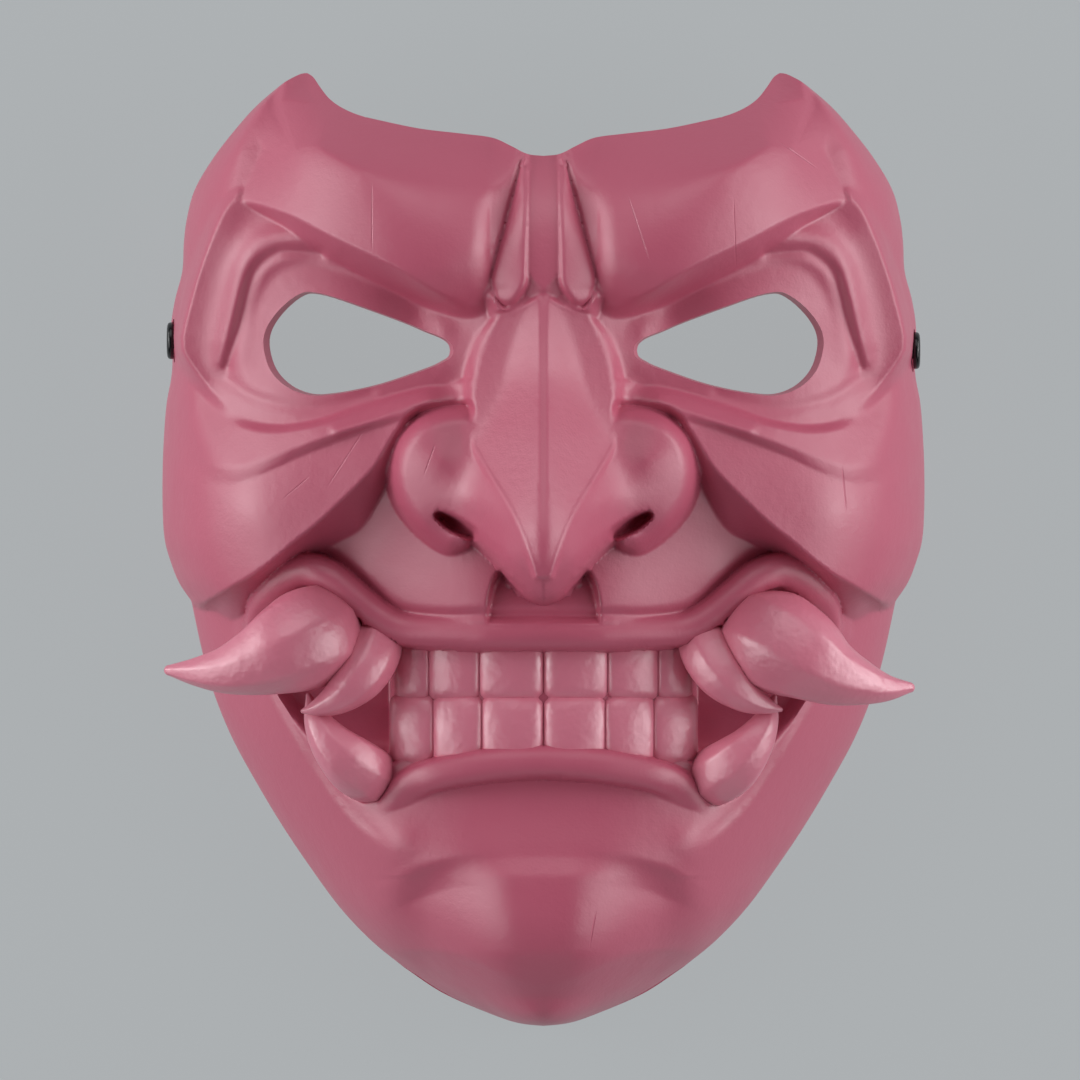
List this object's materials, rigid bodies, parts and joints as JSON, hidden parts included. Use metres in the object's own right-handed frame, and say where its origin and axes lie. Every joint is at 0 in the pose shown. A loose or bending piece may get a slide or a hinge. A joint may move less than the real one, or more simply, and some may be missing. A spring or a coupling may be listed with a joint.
{
  "type": "samurai demon mask",
  "caption": "Full-face demon mask with furrowed brow, hooked nose, bared teeth and curved tusks, hollow behind, with a strap stud at each temple.",
  "frame": {"origin": "centre of the mask's box, on the plane of its back rim, which is the surface it lies on", "axes": "+X to the viewer's right across the face, +Y up the face from the chin to the horns, +Z out of the face"},
  "size_m": [0.1862, 0.232, 0.104],
  "materials": {
    "resin": "rose red satin lacquer over a cast resin shell, glossier on the teeth and tusks, with fine sanding marks",
    "stud": "black enamel, glossy"
  },
  "bodies": {
    "root": {"mask": "resin", "strap_stud_left": "stud", "strap_stud_right": "stud"}
  },
  "joints": []
}
